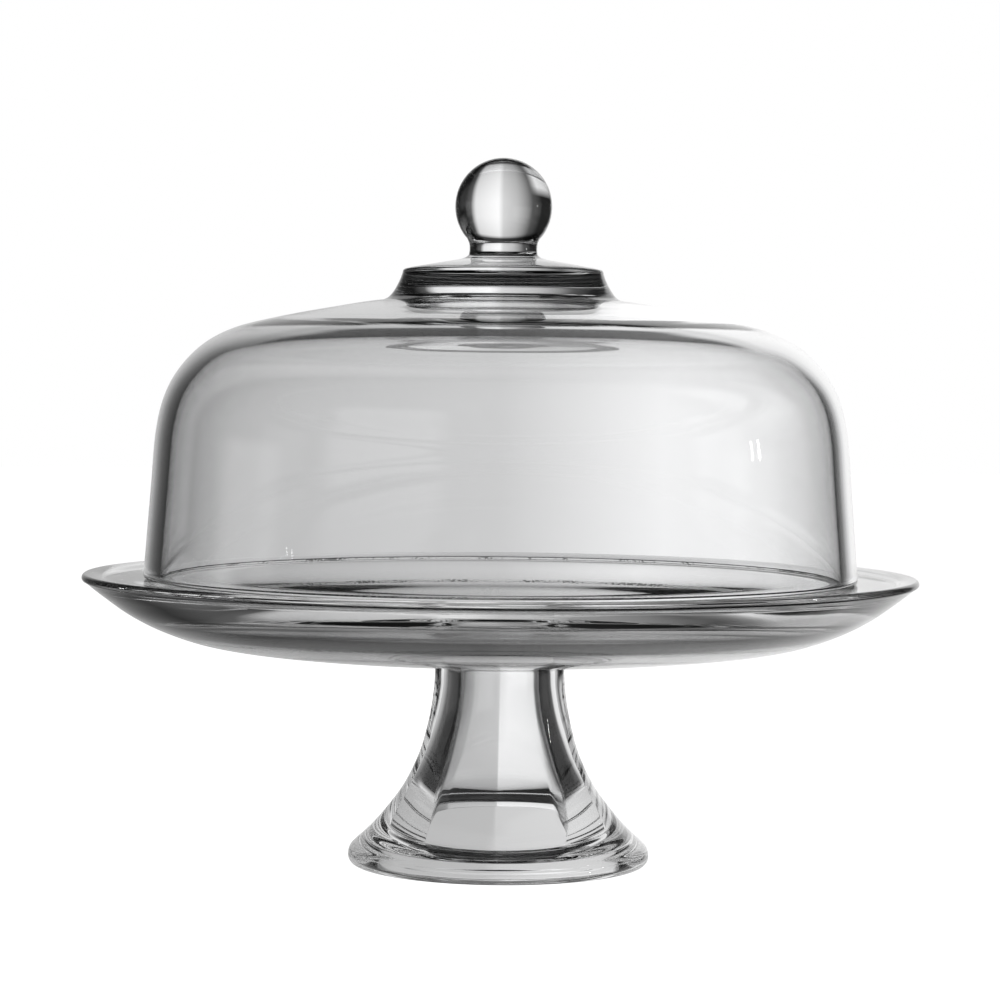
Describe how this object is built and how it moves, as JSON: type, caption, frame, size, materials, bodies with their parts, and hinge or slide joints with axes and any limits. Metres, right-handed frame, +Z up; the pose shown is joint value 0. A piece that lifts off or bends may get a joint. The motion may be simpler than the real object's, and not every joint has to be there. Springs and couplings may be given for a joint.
{
  "type": "cake stand with dome",
  "caption": "Footed round cake plate of clear pressed glass with a lift-off bell-shaped glass dome and a ball knob.",
  "frame": {"origin": "centre of the foot's flat resting ring, at the surface that the stand rests on", "axes": "+Z up along the axis of the pedestal, plate and dome; +X to the right of the viewer, who looks along +Y"},
  "size_m": [0.33, 0.33, 0.2798],
  "materials": {
    "plate_glass": "clear, fire polished",
    "pedestal_glass": "clear, fire polished, fluted inside",
    "dome_glass": "clear, slightly uneven pressed surface",
    "knob_glass": "clear, solid, fire polished"
  },
  "bodies": {
    "stand": {"plate": "plate_glass", "pedestal": "pedestal_glass"},
    "dome": {"dome_shell": "dome_glass", "crown_boss": "knob_glass", "knob": "knob_glass"}
  },
  "joints": [
    {"name": "dome_lift", "type": "slide", "parent": "stand", "child": "dome", "axis": [0, 0, 1], "range_m": [0, 0.15]}
  ]
}
